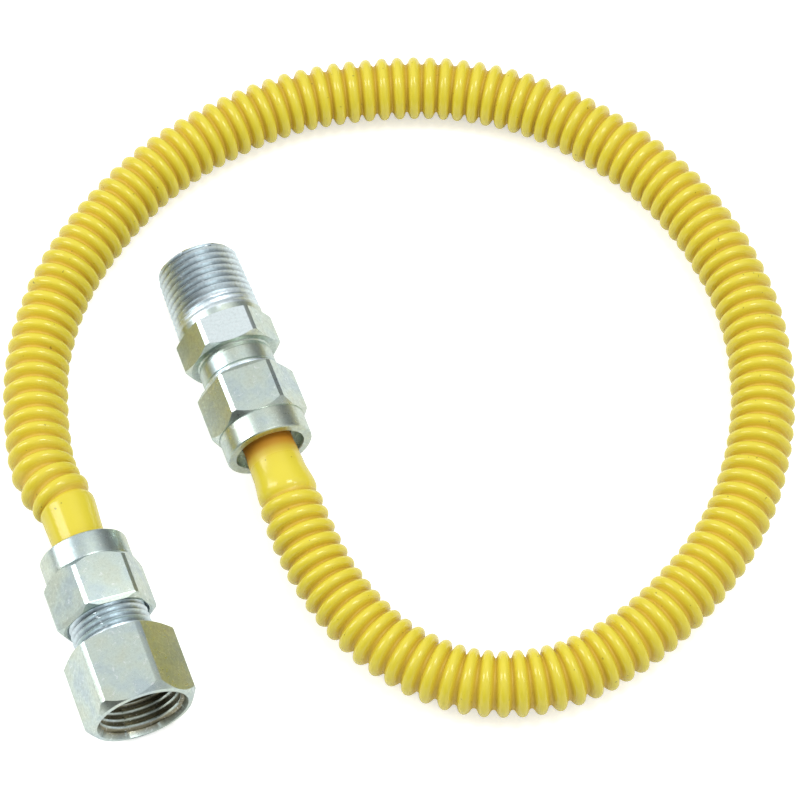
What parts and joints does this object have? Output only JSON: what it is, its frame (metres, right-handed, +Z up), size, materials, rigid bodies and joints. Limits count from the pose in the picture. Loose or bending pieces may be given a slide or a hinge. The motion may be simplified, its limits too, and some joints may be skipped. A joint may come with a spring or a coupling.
{
  "type": "flexible gas hose",
  "caption": "Coated corrugated steel gas hose lying in an open loop, with a turning flare nut on each end, a female pipe adapter and a male pipe adapter.",
  "frame": {"origin": "on the surface that the hose lies on, under the middle of the box around the two end fittings", "axes": "+Z up; +Y along both fittings, towards the male pipe end; +X from the female fitting towards the male fitting and the loop"},
  "size_m": [0.1946, 0.1848, 0.0254],
  "materials": {
    "yellow_coat": "glossy yellow polymer coat over the corrugations",
    "tube_steel": "bright annealed stainless steel",
    "nut_steel": "satin zinc plate with a faint green and blue tint",
    "adapter_steel": "satin zinc plate with a faint straw and blue tint"
  },
  "bodies": {
    "hose": {"hose_coat": "yellow_coat", "corrugated_tube": "tube_steel"},
    "female_nut": {"female_nut": "nut_steel"},
    "female_adapter": {"female_adapter": "adapter_steel"},
    "male_nut": {"male_nut": "nut_steel"},
    "male_adapter": {"male_adapter": "adapter_steel"}
  },
  "joints": [
    {"name": "female_nut_turn", "type": "hinge", "parent": "hose", "child": "female_nut", "pos_m": [-0.02447, -0.0294, 0.0127], "axis": [0, 1, 0], "range_deg": [0, 1800]},
    {"name": "female_adapter_unscrew", "type": "slide", "parent": "hose", "child": "female_adapter", "axis": [0, -1, 0], "range_m": [0, 0.00794]},
    {"name": "male_nut_turn", "type": "hinge", "parent": "hose", "child": "male_nut", "pos_m": [0.02583, 0.0192, 0.01075], "axis": [0, -1, 0], "range_deg": [0, 1800]},
    {"name": "male_adapter_unscrew", "type": "slide", "parent": "hose", "child": "male_adapter", "axis": [0, 1, 0], "range_m": [0, 0.00794]}
  ],
  "couplings": [
    {"joint": "female_nut_turn", "follows": "female_adapter_unscrew", "rad_per_m": 3957.9},
    {"joint": "male_nut_turn", "follows": "male_adapter_unscrew", "rad_per_m": 3957.9}
  ]
}
